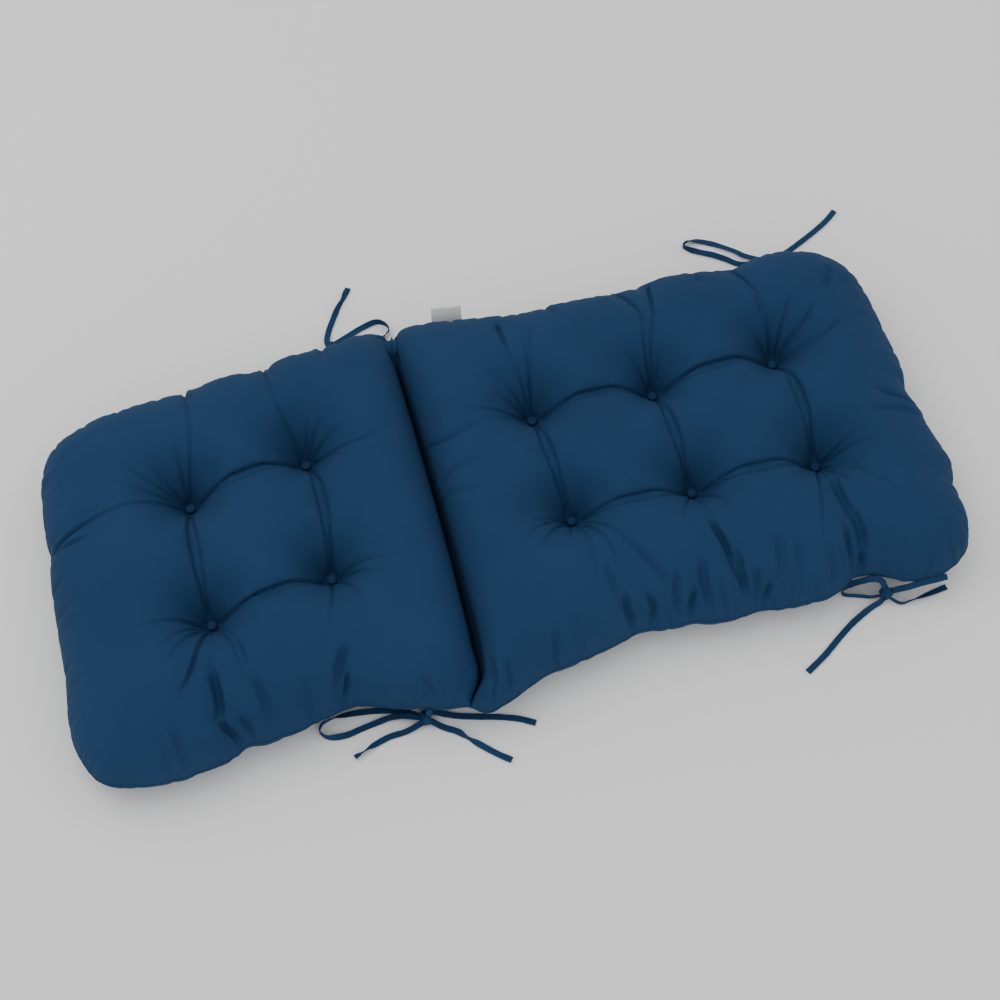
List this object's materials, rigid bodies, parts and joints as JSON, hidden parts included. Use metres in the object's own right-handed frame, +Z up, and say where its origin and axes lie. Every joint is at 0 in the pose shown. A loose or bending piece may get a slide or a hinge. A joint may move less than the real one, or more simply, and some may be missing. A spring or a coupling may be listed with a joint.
{
  "type": "high back chair cushion",
  "caption": "Tufted high back chair cushion lying on its back: a filled seat and a longer back joined by a stitched fold line, with covered buttons, tie tapes and a bare care label.",
  "frame": {"origin": "on the surface that the cushion lies on, under the middle of the cushion's box", "axes": "+X from the seat towards the top of the back, +Y across the cushion towards the side that is farther away in the picture, +Z up"},
  "size_m": [1.0852, 0.684, 0.106],
  "materials": {
    "cloth": "plain woven, matte with a faint sheen",
    "button": "plain woven, drawn tight over a button",
    "tape": "plain woven, folded and stitched",
    "label": "smooth woven tape, bare"
  },
  "bodies": {
    "root": {"cushion": "cloth", "button_seatFar1": "button", "button_seatFar2": "button", "button_seatNear1": "button", "button_seatNear2": "button", "button_backFar1": "button", "button_backFar2": "button", "button_backFar3": "button", "button_backNear1": "button", "button_backNear2": "button", "button_backNear3": "button", "tie_near_seat_root": "tape", "tie_near_seat_loop": "tape", "tie_near_seat_tail_left": "tape", "tie_near_seat_tail_front": "tape", "tie_near_seat_tail_right": "tape", "tie_near_seat_knot": "tape", "tie_near_back_root": "tape", "tie_near_back_loop": "tape", "tie_near_back_tail_right": "tape", "tie_near_back_tail_left": "tape", "tie_near_back_knot": "tape", "tie_far_seat_root": "tape", "tie_far_seat_loop": "tape", "tie_far_seat_tail": "tape", "tie_far_seat_knot": "tape", "tie_far_back_root": "tape", "tie_far_back_loop": "tape", "tie_far_back_tail": "tape", "tie_far_back_knot": "tape", "care_label": "label"}
  },
  "joints": []
}
